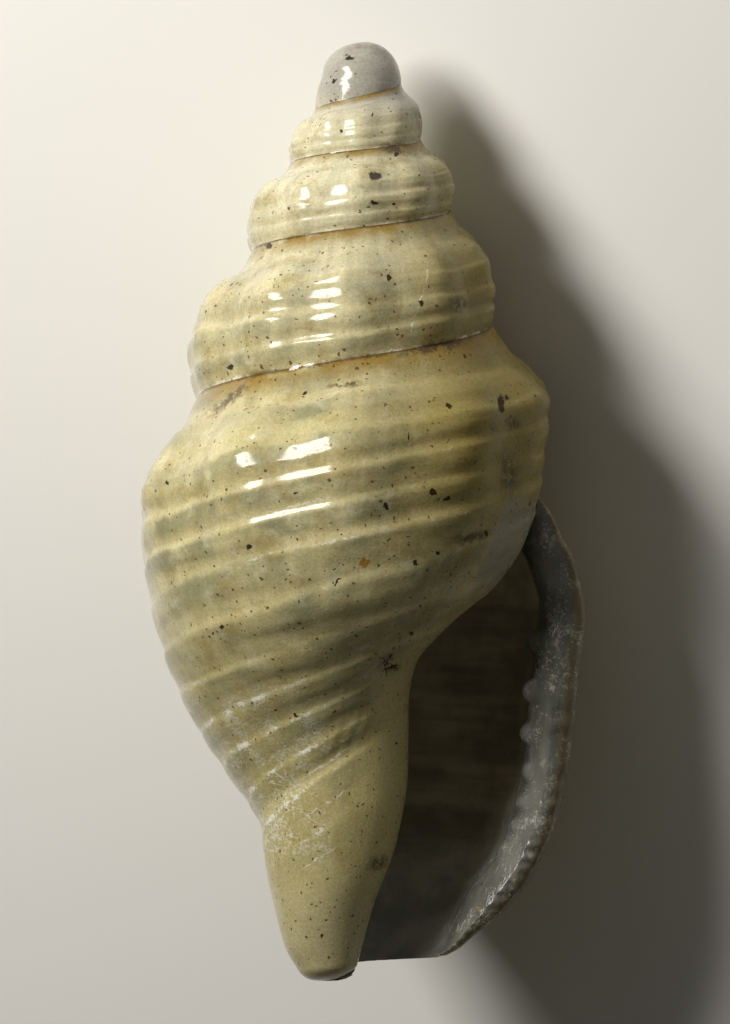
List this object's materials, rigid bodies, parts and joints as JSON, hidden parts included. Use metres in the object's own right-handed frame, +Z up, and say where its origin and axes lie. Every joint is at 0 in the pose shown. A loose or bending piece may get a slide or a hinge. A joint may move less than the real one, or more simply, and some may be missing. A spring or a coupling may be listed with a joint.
{
  "type": "sea snail shell",
  "caption": "Turreted sea-snail shell lying on its back, with corded and ribbed whorls, a thick toothed outer lip and a short open canal.",
  "frame": {"origin": "middle of the shell's bounding box, at the height of the ground it lies on", "axes": "+Z up, out of the side that the aperture is on; +Y along the shell towards its apex, which tips down towards the ground; +X towards the outer lip"},
  "size_m": [0.004, 0.0084, 0.0037],
  "materials": {
    "shell": "cream, slightly translucent shell with a soft gloss, greyer in the grooves and on the smooth first whorls"
  },
  "bodies": {
    "root": {"shell": "shell"}
  },
  "joints": []
}
